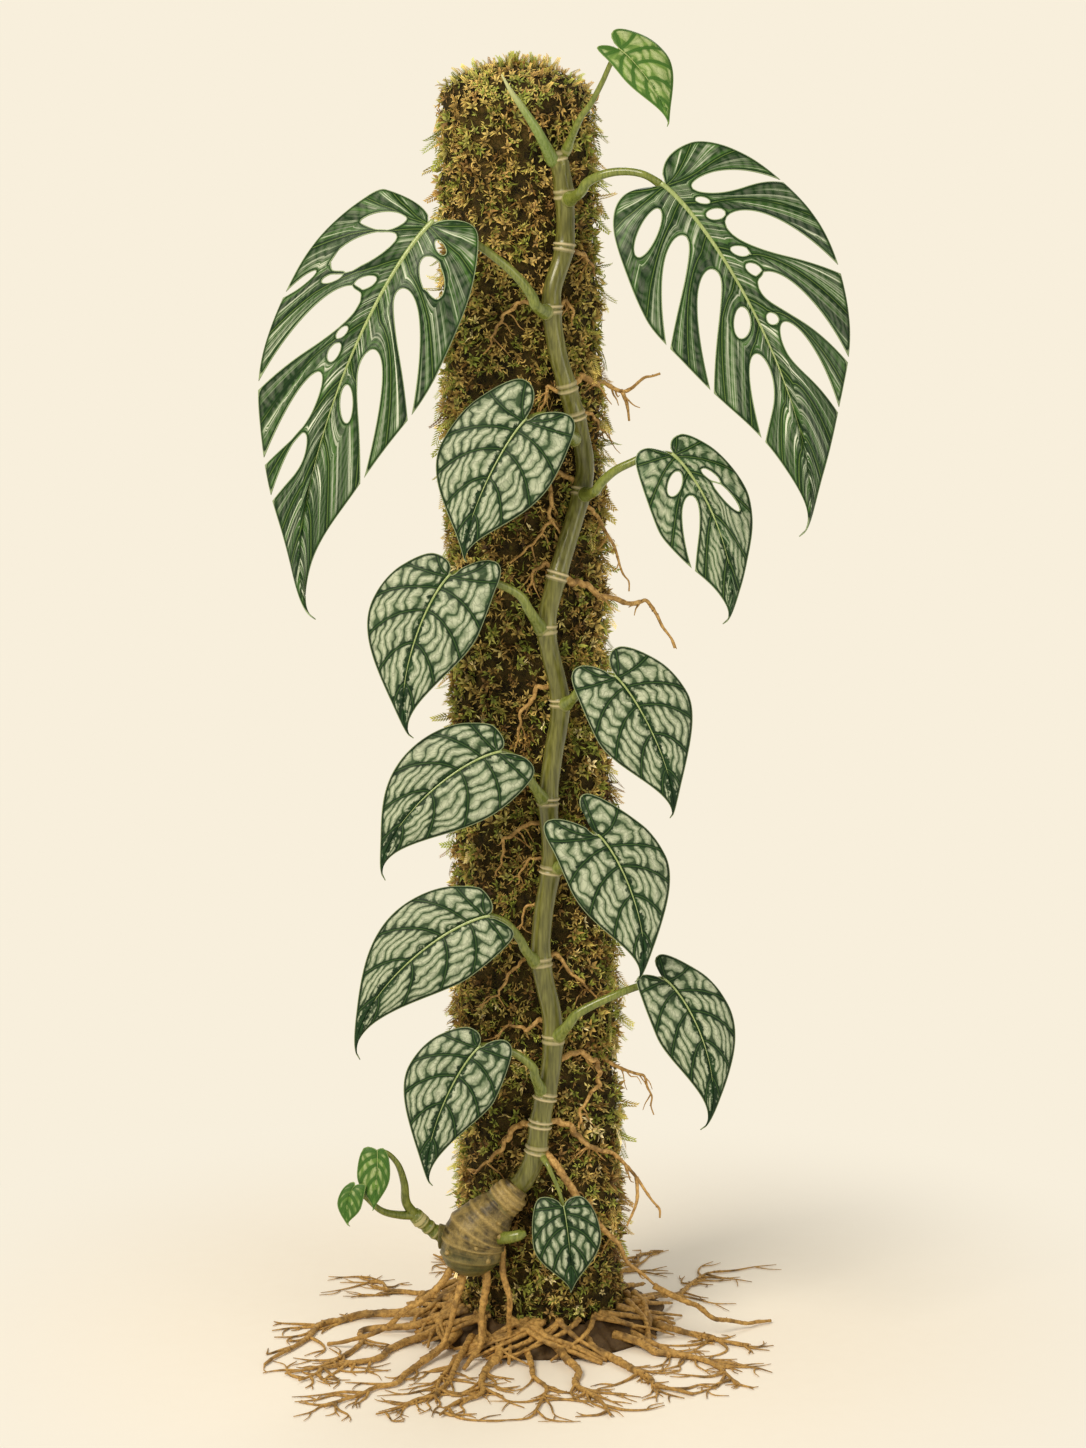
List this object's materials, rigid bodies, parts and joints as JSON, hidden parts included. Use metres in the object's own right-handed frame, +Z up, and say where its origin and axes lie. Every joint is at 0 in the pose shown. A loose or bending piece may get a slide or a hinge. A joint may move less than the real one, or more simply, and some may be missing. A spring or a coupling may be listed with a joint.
{
  "type": "climbing monstera plant",
  "caption": "Climbing monstera on an upright moss-covered post, with silvered heart leaves below, cut and windowed leaves above, aerial roots and spreading ground roots.",
  "frame": {"origin": "centre of the post's foot, on the surface it stands on", "axes": "+Z up along the post; -Y is the front, where the stem climbs and the leaves face; +X to the right seen from the front"},
  "size_m": [0.3356, 0.3097, 0.7698],
  "materials": {
    "moss": "soft cushions of living moss, olive to brown",
    "stem": "smooth green stem with a soft shine",
    "rhizome": "olive-brown rhizome with corky ring scars",
    "leaf_silver": "satin leaf, silver between dark green veins",
    "leaf_green": "satin grown leaf, mid to dark green",
    "leaf_young": "soft light green young leaf",
    "leaf_stalk": "smooth bright green leaf stalk",
    "aerial_root": "matte golden tan root",
    "ground_root": "matte golden brown root"
  },
  "bodies": {
    "root": {"moss_post": "moss", "vine_stem": "stem", "rhizome": "rhizome", "heart_leaf_1": "leaf_silver", "heart_leaf_2": "leaf_silver", "heart_leaf_3": "leaf_silver", "heart_leaf_4": "leaf_silver", "heart_leaf_5": "leaf_silver", "heart_leaf_6": "leaf_silver", "heart_leaf_7": "leaf_silver", "heart_leaf_8": "leaf_silver", "heart_leaf_9": "leaf_silver", "top_leaf": "leaf_young", "shoot_leaf_1": "leaf_young", "shoot_leaf_2": "leaf_young", "cut_leaf_left": "leaf_green", "cut_leaf_right": "leaf_green", "cut_leaf_small": "leaf_green", "heart_leaf_1_stalk": "leaf_stalk", "heart_leaf_2_stalk": "leaf_stalk", "heart_leaf_3_stalk": "leaf_stalk", "heart_leaf_4_stalk": "leaf_stalk", "heart_leaf_5_stalk": "leaf_stalk", "heart_leaf_6_stalk": "leaf_stalk", "heart_leaf_7_stalk": "leaf_stalk", "heart_leaf_8_stalk": "leaf_stalk", "heart_leaf_9_stalk": "leaf_stalk", "top_leaf_stalk": "leaf_stalk", "cut_leaf_left_stalk": "leaf_stalk", "cut_leaf_right_stalk": "leaf_stalk", "cut_leaf_small_stalk": "leaf_stalk", "side_shoot": "leaf_stalk", "basal_shoot": "leaf_stalk", "growing_spear": "leaf_young", "aerial_root_1": "aerial_root", "aerial_root_2": "aerial_root", "aerial_root_3": "aerial_root", "aerial_root_4": "aerial_root", "aerial_root_5": "aerial_root", "aerial_root_6": "aerial_root", "aerial_root_7": "aerial_root", "aerial_root_8": "aerial_root", "aerial_root_9": "aerial_root", "aerial_root_10": "aerial_root", "aerial_root_11": "aerial_root", "aerial_root_12": "aerial_root", "aerial_root_13": "aerial_root", "aerial_root_14": "aerial_root", "aerial_root_15": "aerial_root", "aerial_root_16": "aerial_root", "aerial_root_17": "aerial_root", "aerial_root_18": "aerial_root", "aerial_root_19": "aerial_root", "aerial_root_20": "aerial_root", "aerial_root_21": "aerial_root", "aerial_root_22": "aerial_root", "ground_roots": "ground_root"}
  },
  "joints": []
}
